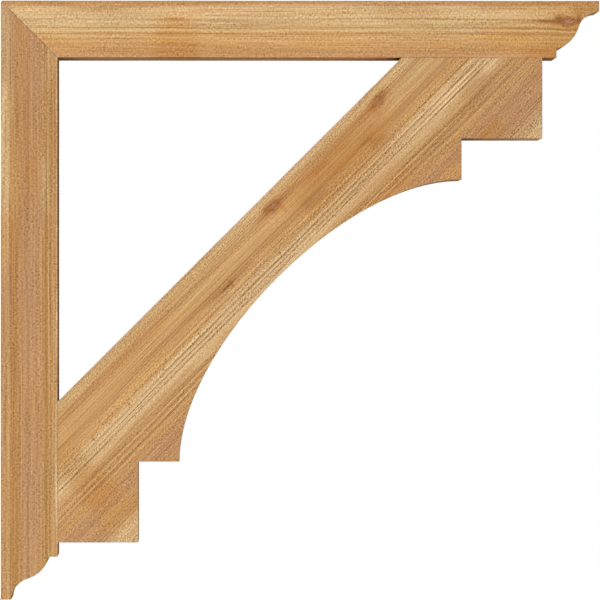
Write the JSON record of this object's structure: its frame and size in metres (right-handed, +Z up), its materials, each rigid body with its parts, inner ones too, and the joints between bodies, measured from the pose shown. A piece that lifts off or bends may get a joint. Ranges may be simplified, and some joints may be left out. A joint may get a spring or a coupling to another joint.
{
  "type": "wooden corbel bracket",
  "caption": "Open triangular timber corbel bracket: mitred wall leg and top arm with ogee ends, and a 45 degree sawn brace with square foot blocks and a hollow outer curve.",
  "frame": {"origin": "middle of the wall leg's flat back face, which lies against the wall", "axes": "+X straight out from the wall along the top arm, +Z up the wall leg, Y across the bracket, which is the same on both sides of Y = 0"},
  "size_m": [0.914, 0.089, 0.914],
  "materials": {
    "cedar": "unfinished dressed cedar, matt, with sawn end grain"
  },
  "bodies": {
    "root": {"wall_leg": "cedar", "top_arm": "cedar", "diagonal_brace": "cedar"}
  },
  "joints": []
}
